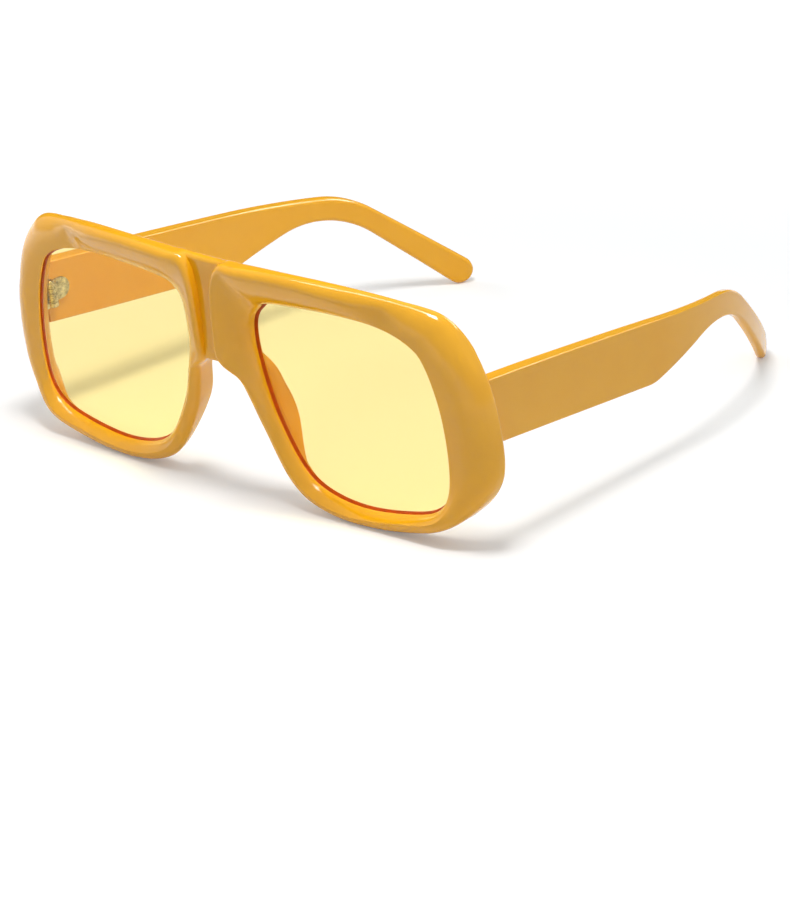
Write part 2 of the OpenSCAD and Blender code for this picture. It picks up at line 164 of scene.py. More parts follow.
# Section at each row: rise, back, slope, edge and draw
FORM_SHARES = [
    (1.015, 0.32, 0.85, 0.33, 0.03), (0.876, 0.29, 0.85, 0.33, 0.02),
    (0.588, 0.35, 0.8, 0.441, 0.02), (-0.059, 0.42, 0.68, 0.61, 0.0),
    (-0.454, 0.62, 0.45, 0.525, 0.0), (-0.207, 1.0, 0.42, 0.488, 0.0),
    (0.02, 1.0, 0.42, 1.126, 0.0), (-0.053, 1.0, 0.45, 1.01, 0.0),
    (0.157, 1.0, 0.55, 0.973, 0.0), (0.422, 0.69, 0.5, 0.525, 0.0),
    (0.439, 0.51, 0.45, 0.595, 0.0), (0.478, 0.46, 0.45, 0.37, 0.0),
    (0.47, 0.49, 0.4, 0.37, 0.05), (0.422, 0.477, 0.1, 0.37, 0.135),
    (0.389, 0.74, -0.27, 0.37, 0.3), (0.589, 0.677, -0.35, 0.33, 0.434),
    (0.846, 0.62, 0.1, 0.27, 0.167), (0.979, 0.46, 0.5, 0.2, 0.0),
    (0.99, 0.37, 0.85, 0.22, 0.0), (0.969, 0.33, 0.85, 0.3, 0.0),
]
# Rows beside the bridge, upwards; they shape its web
NOSE_ROWS = slice(16, 20)
# Height of the bridge's arch, depth of the channel there, and height of the temple at its knee
ARCH_SHARE = 0.609
CHANNEL_SHARE = 0.33
KNEE_SHARE = 0.957
# Most of a wall, and of a temple's height, that a rounding may take
WALL_SHARE = 0.95
EDGE_SHARE = 0.45
# Points that draw the rear slope outwards and the face inwards, and the reach of the face's edge
CROWN_DRAW = (0.45, 0.8)
HOLLOW_DRAW = (1 / 3, 0.45)
FACE_REACH = 3
# How much wider than the web its flare ends above the brow
FLARE_SPREAD = 1.01

WHITE = (1, 1, 1, 1)
DAYLIGHT = (0.95, 0.99, 1, 1)
LENS_SHEEN = (0.2, 0.2, 0.16, 1)
LENS_SHADOW = (1, 0.98, 0.85, 1)
# Dark end of the lens edge's colour, a painted shade of the gap between lens and rim
PAINTED_GAP_SHADE = (0.32, 0.035, 0.003, 1)
# Dark end of the nickel's patches, painted shade and dark reflections on the plating
NICKEL_PAINTED_SHADE = (0.24, 0.21, 0.16, 1)
TABLE_SHADE = (0.65, 0.65, 0.65, 1)

# The table glows from the first to the second strength between these distances from the middle
TABLE_HALF = 3.0
GLOW_REACH = (0.1, 0.42)
GLOW = (0.2, 1.0)
# The light of the surroundings grows along this direction
SKY_WAY = (0.45, 0.75, 0.48)
SKY_LIGHT = (0.02, 0.82)
# Area lamps: name, power, size, place, aim, and the kind of ray that misses the lamp. The last
# two show as highlights alone, on the temples' long edges and along the brow.
LAMPS = (
    ("overhead softbox", 1.5, (0.12, 0.12), (0.06, -0.095, 0.456), (0.03, -0.05, 0), None),
    ("left panel", 2.4, (0.5, 0.4), (-0.75, -0.12, 0.25), (0, -0.03, 0.03), "glossy"),
    ("arris panel", 4.5, (0.5, 0.25), (0.23, 0.63, 0.6), (0, 0, 0.03), "diffuse"),
    ("brow strip", 0.5, (0.24, 0.05), (-0.09, -0.08, 0.44), (-0.09, -0.08, 0), "diffuse"),
)
# Felt card: the left and right end of its foot, and the heights of its edges
CARD_LEFT = (-1.3, 0.2)
CARD_RIGHT = (0.3, 1.5)
CARD_LOW = 0.015
CARD_HIGH = 1.0
# Camera: its place, what is right and up to it, its focal length and the picture's width in pixels
CAMERA_PLACE = (0.657989, -0.693921, 0.375682)
CAMERA_RIGHT = (0.73633, 0.67363, -0.06358)
CAMERA_UP = (-0.21076, 0.31763, 0.92449)
FOCAL_PIXELS = 4324.93
PICTURE_WIDTH = 790
SENSOR_WIDTH = 36


def eased(share):
    """A share of 0 to 1 that starts and ends gently."""
    share = min(1, max(0, share))
    return share * share * (3 - 2 * share)


def linear(colour):
    """Linear red, green and blue of an sRGB hex colour."""
    parts = [int(colour[k:k + 2], 16) / 255 for k in (1, 3, 5)]
    return tuple(p / 12.92 if p <= 0.04045 else ((p + 0.055) / 1.055) ** 2.4 for p in parts)


def length(name, description, default):
    """Size that a user can change; its default is in millimetres."""
    return FloatProperty(name=name, description=description, default=default * MM, unit="LENGTH")


def angle(name, description, default):
    """Angle that a user can change; its default is in degrees."""
    return FloatProperty(name=name, description=description, default=radians(default),
                         unit="ROTATION")


def colour(name, description, default):
    """Colour that a user can change; its default is an sRGB hex colour."""
    return FloatVectorProperty(name=name, description=description, default=linear(default),
                               subtype="COLOR")


class SunglassesSizes(bpy.types.PropertyGroup):
    """Driving sizes of the sunglasses."""
    lens_w: length("Lens width", "Width of one lens opening", 55.4)
    lens_h: length("Lens height", "Height of one lens opening", 47)
    bridge_w: length("Bridge", "Distance between the two lens openings", 19.3)
    lens_t: length("Lens thickness", "Thickness of the lens", 1.6)
    groove_depth: length("Groove", "Depth of the groove that holds the lens", 0.9)
    rim_side: length("Rim at the side", "Breadth of the rim at the temple", 9.95)
    rim_top: length("Rim at the top", "Breadth of the rim over the lens", 7.7)
    rim_low: length("Rim at the bottom", "Breadth of the rim under the lens", 4.4)
    front_depth: length("Front depth", "Depth from the openings to the land", 9.2)
    face_rise: length("Face rise", "Rise of the bridge's face over the lens", 6)
    front_bow: length("Front bow", "Sweep of the openings to the front's ends", 2.3)
    front_round: length("Front edge", "Radius of the soft outer edge", 6)
    lip_r: length("Lip", "Radius of the lip round the opening", 1.1)
    channel_w: length("Channel width", "Width of the channel in the bridge", 3.5)
    channel_depth: length("Channel depth", "Depth of the channel at its top", 2.4)
    temple_len: length("Temple length", "Length from the butt to the tip", 128)
    temple_h: length("Temple height", "Height of a temple at its root", 15.3)
    temple_t: length("Temple thickness", "Thickness of a temple", 3.8)
    temple_z: length("Root height", "Height of the root over the rims' bottom", 31.2)
    temple_set: length("Temple set", "Outer face's place in from the front's end", 3.3)
    temple_in: angle("Temple angle", "Angle at which a temple runs in", 2.6)
    pantoscopic: angle("Temple slope", "Downward slope of the temple", 9.1)
    bend_start: length("Curve start", "Distance from the butt to the curve", 60)
    bend_r: length("Curve radius", "Radius of the temple's inward curve", 122)
    ear_len: length("Ear piece", "Length of the part over the ear", 31.6)
    ear_drop: length("Ear drop", "Drop of the tip below the ear bend", 27)
    ear_r: length("Ear radius", "Radius of the bend over the ear", 30)
    tip_w: length("Tip width", "Width of the temple tip", 7)
    barrel_d: length("Barrel diameter", "Outside diameter of the hinge barrel", 3)
    barrel_h: length("Barrel height", "Height of the hinge barrel", 6)
    screw_d: length("Screw diameter", "Diameter of the hinge screw's shank", 1.2)
    screw_clear: length("Screw clearance", "Clearance of the screw in the knuckles", 0.04)
    plate_len: length("Plate length", "Reach of the hinge plate from the axis", 6.7)
    plate_h: length("Plate height", "Height of the hinge plate", 5.4)
    plate_t: length("Plate thickness", "Thickness of the hinge plate", 0.55)


class SunglassesColours(bpy.types.PropertyGroup):
    """Colours of the sunglasses and of the table that they stand on."""
    plastic: colour("Plastic", "Mustard of the moulded plastic", "#EDAA0E")
    plastic_deep: colour("Plastic, deep", "Darker flow tone of the plastic", "#EBA60C")
    lens_tint: colour("Lens tint", "Tint of the light through a lens", "#FAE8A0")
    # Lens edge colour: the ground edge seen end on, and also the painted shade of the gap round the
    # lens
    lens_edge_and_painted_shade: colour("Lens edge", "Ground edge of a lens, seen end on", "#DC640C")
    nickel: colour("Nickel", "Plating of the hinges", "#E2DBCB")
    table: colour("Table", "Pale table under the sunglasses", "#DADADA")


# Nodes

def add(tree, kind, inputs=None, **settings):
    """Makes a node and gives its outputs; an input takes a value or the socket that feeds it."""
    node = tree.nodes.new(kind)
    for name, value in settings.items():
        setattr(node, name, value)
    for name, value in (inputs or {}).items():
        if isinstance(value, bpy.types.NodeSocket):
            tree.links.new(value, node.inputs[name])
        else:
            node.inputs[name].default_value = value
    return node.outputs


def new_material(name, shader):
    """Material whose shader function returns the surface's output socket."""
    material = bpy.data.materials.get(name) or bpy.data.materials.new(name)
    material.use_nodes = True
    tree = material.node_tree
    tree.nodes.clear()
    add(tree, "ShaderNodeOutputMaterial", {"Surface": shader(tree)})
    return material


def opaque(colour):
    """Colour of a node, with its alpha."""
    return (*colour, 1)


def pattern(tree, size, detail):
    """Noise over the object's own coordinates, with patches of a real size in metres."""
    place = add(tree, "ShaderNodeTexCoord")["Object"]
    return add(tree, "ShaderNodeTexNoise",
               {"Vector": place, "Scale": 1 / size, "Detail": detail})["Fac"]


def remap(tree, noise, low, high):
    """Spreads the middle of a noise over a range."""
    return add(tree, "ShaderNodeMapRange",
               {"Value": noise, "From Min": 0.3, "From Max": 0.7, "To Min": low, "To Max": high}
               )["Result"]


def patches(tree, size, detail, low, high):
    """Value between two bounds that varies over the piece in patches of a real size."""
    return remap(tree, pattern(tree, size, detail), low, high)


def blend(tree, share, first, second):
    """Colour between two colours, by a share that varies over the piece."""
    return add(tree, "ShaderNodeMix", {"Factor": share, "A": first, "B": second},
               data_type="RGBA")["Result"]


def bump(tree, height, strength, distance):
    """Normal of a surface that a pattern raises."""
    return add(tree, "ShaderNodeBump",
               {"Height": height, "Strength": strength, "Distance": distance})["Normal"]


def calculate(tree, operation, first, second=0.0):
    return add(tree, "ShaderNodeMath", {0: first, 1: second}, operation=operation)[0]


def seen(tree, strength):
    """A strength that counts only for what the camera sees, straight or through gloss or glass."""
    rays = add(tree, "ShaderNodeLightPath")
    gloss = calculate(tree, "MAXIMUM", rays["Is Camera Ray"], rays["Is Glossy Ray"])
    glass = calculate(tree, "MAXIMUM", gloss, rays["Is Transmission Ray"])
    return calculate(tree, "MULTIPLY", glass, strength)


def moulded_plastic(colours):
    """Glossy injection-moulded plastic: flow tones of mustard, and a polish that varies softly."""
    def shader(tree):
        tone = blend(tree, patches(tree, 14 * MM, 3, 0, 1), opaque(colours.plastic),
                     opaque(colours.plastic_deep))
        polish = patches(tree, 5 * MM, 4, 0.09, 0.15)
        swell = bump(tree, pattern(tree, 1.2 * MM, 3), 0.2, 0.008 * MM)
        return add(tree, "ShaderNodeBsdfPrincipled",
                   {"Base Color": tone, "Roughness": polish, "IOR": 1.49, "Normal": swell})[0]
    return new_material("moulded mustard plastic", shader)


def tinted_lens(colours):
    """Clear cast lens with a yellow tint, whose polish carries a trace of wiping."""
    def shader(tree):
        polish = patches(tree, 9 * MM, 5, 0.0, 0.03)
        glass = add(tree, "ShaderNodeBsdfPrincipled",
                    {"Base Color": opaque(colours.lens_tint), "Roughness": polish, "IOR": 1.5,
                     "Transmission Weight": 1.0, "Specular IOR Level": 0.1,
                     "Specular Tint": LENS_SHEEN})[0]
        clear = add(tree, "ShaderNodeBsdfTransparent", {"Color": LENS_SHADOW})[0]
        shadow = add(tree, "ShaderNodeLightPath")["Is Shadow Ray"]
        return add(tree, "ShaderNodeMixShader", {0: shadow, 1: glass, 2: clear})[0]
    return new_material("tinted lens", shader)


def ground_edge_and_painted_shade(colours):
    """Ground rim of the lens: matt, and painted deep red, which stands in for the tint seen end on
    and is painted shade of the gap between lens and rim.
    """
    def shader(tree):
        # Painted shade: the edge darkens in patches towards a deep red
        tone = blend(tree, patches(tree, 2 * MM, 4, 0, 0.35), opaque(colours.lens_edge_and_painted_shade),
                     PAINTED_GAP_SHADE)
        grind = bump(tree, pattern(tree, 0.15 * MM, 2), 0.4, 0.01 * MM)
        return add(tree, "ShaderNodeBsdfPrincipled",
                   {"Base Color": tone, "Roughness": 0.5, "IOR": 1.5, "Normal": grind})[0]
    return new_material("ground lens edge and painted gap shade", shader)


def nickel_plate(colours):
    """Nickel plating over stamped brass: bright metal with a drawn grain, and dark patches of painted
    shade and reflection.
    """
    def shader(tree):
        # Painted shade and reflection: the nickel darkens in patches towards a dark grey
        tone = blend(tree, patches(tree, 1.3 * MM, 2, 0, 1), opaque(colours.nickel), NICKEL_PAINTED_SHADE)
        place = add(tree, "ShaderNodeTexCoord")["Object"]
        drawn = add(tree, "ShaderNodeMapping", {"Vector": place, "Scale": (1, 1, 12)})[0]
        grain = add(tree, "ShaderNodeTexNoise",
                    {"Vector": drawn, "Scale": 1 / (0.9 * MM), "Detail": 3.0})["Fac"]
        return add(tree, "ShaderNodeBsdfPrincipled",
                   {"Base Color": tone, "Metallic": 1.0, "Roughness": remap(tree, grain, 0.18, 0.36),
                    "Normal": bump(tree, grain, 0.6, 0.03 * MM)})[0]
    return new_material("nickel plating", shader)


def plain_table(colours):
    """Pale matt table: white to the camera, and still taking the object's soft shadow."""
    def shader(tree):
        tone = blend(tree, patches(tree, 60 * MM, 2, 0, 0.03), opaque(colours.table), TABLE_SHADE)
        matt = add(tree, "ShaderNodeBsdfDiffuse", {"Color": tone})[0]
        place = add(tree, "ShaderNodeTexCoord")["Object"]
        away = add(tree, "ShaderNodeVectorMath", {0: place}, operation="LENGTH")["Value"]
        glow = add(tree, "ShaderNodeMapRange",
                   {"Value": away, "From Min": GLOW_REACH[0], "From Max": GLOW_REACH[1],
                    "To Min": GLOW[0], "To Max": GLOW[1]},
                   interpolation_type="SMOOTHSTEP")["Result"]
        lift = add(tree, "ShaderNodeEmission", {"Color": WHITE, "Strength": seen(tree, glow)})[0]
        return add(tree, "ShaderNodeAddShader", {0: matt, 1: lift})[0]
    return new_material("plain pale table", shader)


def felt_card():
    """Grey felt card behind the set, which keeps most of the haze off the tops of the plastic."""
    def shader(tree):
        nap = patches(tree, 3 * MM, 2, 0.2, 0.28)
        return add(tree, "ShaderNodeBsdfDiffuse", {"Color": nap})[0]
    return new_material("grey felt card", shader)


def new_tree(name, sizes):
    """Geometry Nodes tree with a mesh in, a mesh out and named sizes; returns it with its inputs."""
    tree = bpy.data.node_groups.new(name, "GeometryNodeTree")
    tree.is_modifier = True
    tree.interface.new_socket("Geometry", in_out="INPUT", socket_type="NodeSocketGeometry")
    for label, kind in sizes.items():
        tree.interface.new_socket(label, in_out="INPUT", socket_type=kind)
    tree.interface.new_socket("Geometry", in_out="OUTPUT", socket_type="NodeSocketGeometry")
    return tree, add(tree, "NodeGroupInput")


def close_tree(tree, geometry, material, edge=None):
    """Ends a tree in real geometry with its material, and a second one where the edge is marked: the
    ground edge and its painted gap shade.
    """
    real = add(tree, "GeometryNodeRealizeInstances", {"Geometry": geometry})[0]
    done = add(tree, "GeometryNodeSetMaterial", {"Geometry": real, "Material": material})[0]
    if edge:
        # Marked faces: the ground edge, and the band past the groove that is painted shade of the gap
        marked = add(tree, "GeometryNodeInputNamedAttribute", {"Name": "ground"}, data_type="BOOLEAN")
        done = add(tree, "GeometryNodeSetMaterial",
                   {"Geometry": done, "Selection": marked["Attribute"], "Material": edge})[0]
    add(tree, "NodeGroupOutput", {"Geometry": done})


def position(tree):
    """Coordinates of the points that a tree works on."""
    place = add(tree, "GeometryNodeInputPosition")[0]
    return add(tree, "ShaderNodeSeparateXYZ", {0: place})


def run_tree(piece, tree, values):
    """Runs a tree on a piece with its inputs set by identifier, and keeps the plain result."""
    modifier = piece.modifiers.new("shape", "NODES")
    modifier.node_group = tree
    for item in tree.interface.items_tree:
        if item.in_out == "INPUT" and item.name in values:
            modifier[item.identifier] = values[item.name]
    bake(piece)


# Meshes

def new_piece(name, points, faces, material=None):
    """Mesh object in the scene."""
    mesh = bpy.data.meshes.new(name)
    mesh.from_pydata([tuple(p) for p in points], [], faces)
    mesh.update()
    piece = bpy.data.objects.new(name, mesh)
    bpy.context.scene.collection.objects.link(piece)
    if material:
        mesh.materials.append(material)
    return piece


def bake(piece):
    """Replaces a piece's mesh by what its modifiers make of it, and removes them."""
    bpy.context.view_layer.update()
    deps = bpy.context.evaluated_depsgraph_get()
    mesh = bpy.data.meshes.new_from_object(piece.evaluated_get(deps), depsgraph=deps)
    if not mesh.polygons:
        raise RuntimeError(f"{piece.name}: its modifiers leave no faces")
    piece.modifiers.clear()
    old = piece.data
    piece.data = mesh
    mesh.name = piece.name
    bpy.data.meshes.remove(old)


def combine(piece, others, operation):
    """Exact boolean of a piece with others, which are used up."""
    for other in others:
        modifier = piece.modifiers.new(operation.lower(), "BOOLEAN")
        modifier.operation = operation
        modifier.solver = "EXACT"
        modifier.object = other
    bake(piece)
    for other in others:
        bpy.data.objects.remove(other)
    return piece


def outward(piece):
    """Turns all faces of a piece outwards."""
    shape = bmesh.new()
    shape.from_mesh(piece.data)
    bmesh.ops.remove_doubles(shape, verts=shape.verts, dist=1e-7)
    bmesh.ops.recalc_face_normals(shape, faces=shape.faces)
    shape.to_mesh(piece.data)
    shape.free()
    return piece


def bevelled(piece, width, angle=30):
    """Rounds a piece's sharp edges."""
    shape = bmesh.new()
    shape.from_mesh(piece.data)
    sharp = [e for e in shape.edges
             if len(e.link_faces) == 2 and e.calc_face_angle(0) > radians(angle)]
    bmesh.ops.bevel(shape, geom=sharp, offset=width, segments=2, profile=0.5, affect="EDGES",
                    clamp_overlap=True)
    shape.to_mesh(piece.data)
    shape.free()
    return piece


def smooth(piece, angle=32):
    """Smooth shading that keeps the real edges."""
    mesh = piece.data
    mesh.polygons.foreach_set("use_smooth", [True] * len(mesh.polygons))
    mesh.set_sharp_from_angle(angle=radians(angle))
    mesh.update()
    return piece


def placed(piece, matrix):
    """Moves a piece's mesh, and keeps its faces outwards where the move mirrors it."""
    piece.data.transform(matrix)
    if matrix.determinant() < 0:
        piece.data.flip_normals()
    piece.data.update()
    return piece


def loft(name, sections, ring):
    """Solid through closed sections, in a ring or in a row with closed ends."""
    n, m = len(sections), len(sections[0])
    faces = [(i * m + j, (i + 1) % n * m + j, (i + 1) % n * m + (j + 1) % m, i * m + (j + 1) % m)
             for i in range(n if ring else n - 1) for j in range(m)]
    if not ring:
        faces.append(tuple(range(m)))
        faces.append(tuple((n - 1) * m + j for j in range(m - 1, -1, -1)))
    return outward(new_piece(name, [p for section in sections for p in section], faces))


def prism(name, outline, low, high, axis):
    """Straight solid over a flat outline; the axis is the one that it is drawn out along."""
    def at(p, h):
        return {"X": (h, p[0], p[1]), "Y": (p[0], h, p[1]), "Z": (p[0], p[1], h)}[axis]

    n = len(outline)
    points = [at(p, low) for p in outline] + [at(p, high) for p in outline]
    faces = [tuple(range(n)), tuple(range(2 * n - 1, n - 1, -1))]
    faces += [(k, (k + 1) % n, n + (k + 1) % n, n + k) for k in range(n)]
    return outward(new_piece(name, points, faces))


def block(name, x, y, z):
    """Box between two bounds along each axis."""
    outline = [(x[0], y[0]), (x[1], y[0]), (x[1], y[1]), (x[0], y[1])]
    return prism(name, outline, z[0], z[1], "Z")


def turned(name, profile):
    """Solid turned about the z axis from a profile of radius and height."""
    points, faces, rings = [], [], []
    for r, z in profile:
        if r == 0:
            rings.append([len(points)] * ROUND_SIDES)
            points.append((0, 0, z))
        else:
            rings.append(list(range(len(points), len(points) + ROUND_SIDES)))
            points += [(r * cos(2 * pi * k / ROUND_SIDES), r * sin(2 * pi * k / ROUND_SIDES), z)
                       for k in range(ROUND_SIDES)]
    for low, high in zip(rings, rings[1:]):
        for k in range(ROUND_SIDES):
            corners = [low[k], low[(k + 1) % ROUND_SIDES], high[(k + 1) % ROUND_SIDES], high[k]]
            faces.append(tuple(dict.fromkeys(corners)))
    return outward(new_piece(name, points, faces))


def dressed(piece, material):
    """Gives a piece one material all over, in place of what its parts brought along."""
    piece.data.materials.clear()
    piece.data.materials.append(material)
    return piece


def finish_piece(piece, place, body, node):
    """Sets a finished piece in its place: it rides on a body, stands in for a CAD node, which it
    hides, and keeps to its box."""
    placed(piece, place)
    smooth(piece)
    low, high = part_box(node)
    for vertex in piece.data.vertices:
        vertex.co = [min(max(c, a), b) for c, a, b in zip(vertex.co, low, high)]
    piece.data.update()
    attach(piece, body)
    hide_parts(node)


# Curves

def closed_curve(rows, steps):
    """Closed smooth curve that passes through rows of numbers."""
    n, out = len(rows), []
    for i in range(n):
        a, b, c, d = (rows[(i + k) % n] for k in (-1, 0, 1, 2))
        for k in range(steps):
            t = k / steps
            out.append([q + (r - p) * t / 2 + (2 * p - 5 * q + 4 * r - s) * t * t / 2
                        + (3 * q - p - 3 * r + s) * t ** 3 / 2 for p, q, r, s in zip(a, b, c, d)])
    return out


def drawn(a, b, c, steps, first=0):
    """Quadratic curve from a to c, drawn towards b."""
    a, b, c = Vector(a), Vector(b), Vector(c)
    return [(1 - t) ** 2 * a + 2 * t * (1 - t) * b + t * t * c
            for t in (k / steps for k in range(first, steps + 1))]


def arc(centre, r, start, end, steps):
    """Points of a round, from one angle to another in degrees."""
    turns = [radians(start + (end - start) * k / steps) for k in range(steps + 1)]
    return [Vector((centre[0] + r * cos(t), centre[1] + r * sin(t))) for t in turns]


def corner(a, b, c, r, steps):
    """Corner at b between a and c, rounded to a radius."""
    a, b, c = Vector(a), Vector(b), Vector(c)
    u, v = (a - b).normalized(), (c - b).normalized()
    half = acos(u.dot(v)) / 2
    centre = b + (u + v).normalized() * (r / sin(half))
    start = b + u * (r / tan(half)) - centre
    first = degrees(atan2(start[1], start[0]))
    turn = 180 - 2 * degrees(half)
    if v[0] * u[1] - v[1] * u[0] < 0:
        turn = -turn
    return arc(centre, r, first, first + turn, steps)


def lookup(at, line):
    """Height of a line of points at a distance."""
    if at <= line[0][0]:
        return line[0][1]
    for p, q in zip(line, line[1:]):
        if at <= q[0]:
            return p[1] + (q[1] - p[1]) * (at - p[0]) / max(1e-12, q[0] - p[0])
    return line[-1][1]


# Front

class Front:
    """The front's rule: openings, outlines and sections of the left rim, in the front's own frame."""

    def __init__(self, size):
        self.size = size
        self.half_w = size.bridge_w / 2 + size.lens_w + size.rim_side
        self.nose_reach = (size.bridge_w - size.channel_w) / 2
        self.face_r = (self.half_w ** 2 + size.front_bow ** 2) / (2 * size.front_bow)
        self.groove_back = GROOVE_SET + size.lens_t + 2 * LENS_CLEAR
        self.face_x = size.barrel_d / 2 + BARREL_GAP
        self.knuckle_h = (size.barrel_h - (KNUCKLES - 1) * KNUCKLE_GAP) / KNUCKLES
        self.pitch = self.knuckle_h + KNUCKLE_GAP
        self.bore_r = size.screw_d / 2 + size.screw_clear
        self.hinge = Vector((self.half_w - size.temple_set
                             - (self.face_x + size.temple_t) * cos(size.temple_in),
                             size.front_depth, size.temple_z))
        self.rows = [Row(*a, *b) for a, b in zip(RIM_SHARES, FORM_SHARES)]
        self.stations = [Row(*values) for values in closed_curve(self.rows, RIM_STEPS)]

    def bow(self, x):
        """How far the front sweeps back at a distance from the middle."""
        return self.face_r - sqrt(self.face_r ** 2 - x * x)

    def opening(self, s):
        """Point of the opening, across and up."""
        return Vector((self.size.bridge_w / 2 + s.x * self.size.lens_w,
                       self.size.rim_low + s.z * self.size.lens_h))

    def outline(self, s):
        """Point of the outline, across and up."""
        across = self.nose_reach if s.broad_x < 0 else self.size.rim_side
        up = self.size.rim_low if s.broad_z < 0 else self.size.rim_top
        return self.opening(s) + Vector((s.broad_x * across, s.broad_z * up))

    def crest(self, s):
        """Depth of the face's highest line."""
        return self.bow(self.opening(s)[0]) - s.rise * self.size.face_rise

    def back(self, s):
        """Depth of the rim's back."""
        return self.crest(s) + min(1, s.back) * (self.size.front_depth - self.crest(s))

    def section(self, s):
        """Closed section of the rim, from the opening's rear edge round the back, side and face."""
        size = self.size
        a, b = self.opening(s), self.outline(s)
        w, d = (b - a).length, (b - a).normalized()
        lip, crest, deep = self.bow(a[0]), self.crest(s), self.back(s)
        rear = lip + self.groove_back + REAR_WALL
        back = w - max(0, s.draw) * size.front_round - REAR_ROUND
        slope = min(s.slope * w, WALL_SHARE * back)
        r = min(s.edge * size.front_round, WALL_SHARE * (w - size.lip_r),
                WALL_SHARE * (deep - REAR_ROUND - crest))
        top = min(crest, lip)
        wide = min(WALL_SHARE * (w - size.lip_r), r + FACE_REACH * (crest - top))
        tall = r + crest - top
        start = (max(-REAR_LIP, min(REAR_LIP, slope / 3)), rear)
        crown = (slope * CROWN_DRAW[0], rear + max(0, deep - rear) * CROWN_DRAW[1])
        hollow = (size.lip_r * HOLLOW_DRAW[0], top + (lip - top) * HOLLOW_DRAW[1])
        flat = [Vector((0, rear - REAR_LIP))]
        flat += drawn(start, crown, (slope, deep), SLOPE_STEPS)
        flat += arc((back, deep - REAR_ROUND), REAR_ROUND, 90, 0, REAR_STEPS)
        for k in range(EDGE_STEPS + 1):
            turn = pi / 2 * k / EDGE_STEPS
            flat.append(Vector((w - wide + wide * cos(turn), top + tall - tall * sin(turn))))
        flat += drawn((w - wide, top), hollow, (0, lip), FACE_STEPS, 1)
        points = [(a[0] + d[0] * u, v, a[1] + d[1] * u) for u, v in flat]
        for u, v in ((0, GROOVE_SET), (size.groove_depth, GROOVE_SET),
                     (size.groove_depth, self.groove_back), (0, self.groove_back)):
            p = a + d * u
            points.append((p[0], self.bow(p[0]) + v, p[1]))
        return points

    def standing(self):
        """Place of the front as the glasses stand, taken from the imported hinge."""
        joint = JOINTS["fold_left"]
        tilt = atan2(-joint["axis"][1], joint["axis"][2])
        return (Matrix.Translation(Vector(joint["pos_m"])) @ Matrix.Rotation(tilt, 4, "X")
                @ Matrix.Translation(-self.hinge))

    def on_side(self, side):
        return MIRROR @ self.standing() if side == "right" else self.standing()

    def at_hinge(self, side):
        return self.on_side(side) @ Matrix.Translation(self.hinge)

    def at_temple(self, side):
        return self.at_hinge(side) @ Matrix.Rotation(self.size.temple_in, 4, "Z")


def bridge_web(rule, brow_z):
    """Recessed web that joins the rims over the nose, flared at the brow."""
    size = rule.size
    arch_z = size.rim_low + ARCH_SHARE * size.lens_h
    top_z = brow_z - BRIDGE_DIP
    nose = rule.rows[NOSE_ROWS]
    low_y = rule.crest(nose[0]) + CHANNEL_SHARE * size.channel_depth
    high_y = rule.crest(nose[3]) + size.channel_depth
    profile = arc((low_y + WEB_R, arch_z + WEB_R), WEB_R, 180, 270, WEB_STEPS)
    profile += arc((rule.back(nose[0]) - WEB_R, arch_z + WEB_R), WEB_R, 270, 360, WEB_STEPS)
    profile += [Vector((rule.back(s), rule.outline(s)[1])) for s in nose[1:3]]
    profile += arc((rule.back(nose[3]) - WEB_R, top_z - WEB_R), WEB_R, 0, 90, WEB_STEPS)
    profile += arc((high_y + WEB_R, top_z - WEB_R), WEB_R, 90, 180, WEB_STEPS)
    web = prism("web", profile, -FLARE_W / 2, FLARE_W / 2, "X")
    half = size.channel_w / 2 + WEB_BITE
    flare = FLARE_W / 2 * FLARE_SPREAD
    plan = [(-half, 0), (half, 0), (half, top_z - FLARE_H), (flare, top_z + MM),
            (-flare, top_z + MM), (-half, top_z - FLARE_H)]
    limit = prism("limit", plan, -2 * size.face_rise - MM, size.front_depth + MM, "Y")
    return combine(web, [limit], "INTERSECT")


def hinge_seat(rule):
    """Room in the front for the barrel and for the anchor of its leaf."""
    size = rule.size
    high = size.barrel_h / 2 + HEAD_H + BARREL_GAP
    room = turned("seat", [(0, -high), (rule.face_x, -high), (rule.face_x, high), (0, high)])
    low = ANCHOR_OUT - ANCHOR_W / 2 - POCKET_GAP
    pocket = block("pocket", (low, low + ANCHOR_W + 2 * POCKET_GAP),
                   (-rule.face_x - ANCHOR_DEPTH - POCKET_GAP, -POCKET_GAP),
                   (-size.barrel_h / 2 - POCKET_GAP, size.barrel_h / 2 + POCKET_GAP))
    return combine(room, [pocket], "UNION")


class OBJECT_OT_sunglasses_front(bpy.types.Operator):
    """Moulds the front: two lofted rims, the channelled bridge and the hinge seats"""
    bl_idname = "object.sunglasses_front"
    bl_label = "Moulded front"

    def execute(self, context):
        rule = Front(context.scene.sunglasses_sizes)
        plastic = moulded_plastic(context.scene.sunglasses_colours)
        sections = [rule.section(s) for s in rule.stations]
        brow_z = max(p[2] for section in sections for p in section)
        front = loft("moulded_front", sections, True)
        other = placed(loft("rim", sections, True), MIRROR)
        combine(front, [other, bridge_web(rule, brow_z)], "UNION")
        hinge = Matrix.Translation(rule.hinge)
        seats = [placed(hinge_seat(rule), place) for place in (hinge, MIRROR @ hinge)]
        combine(front, seats, "DIFFERENCE")
        finish_piece(dressed(front, plastic), rule.standing(), "front", "front_frame")
        return {"FINISHED"}


# Lenses

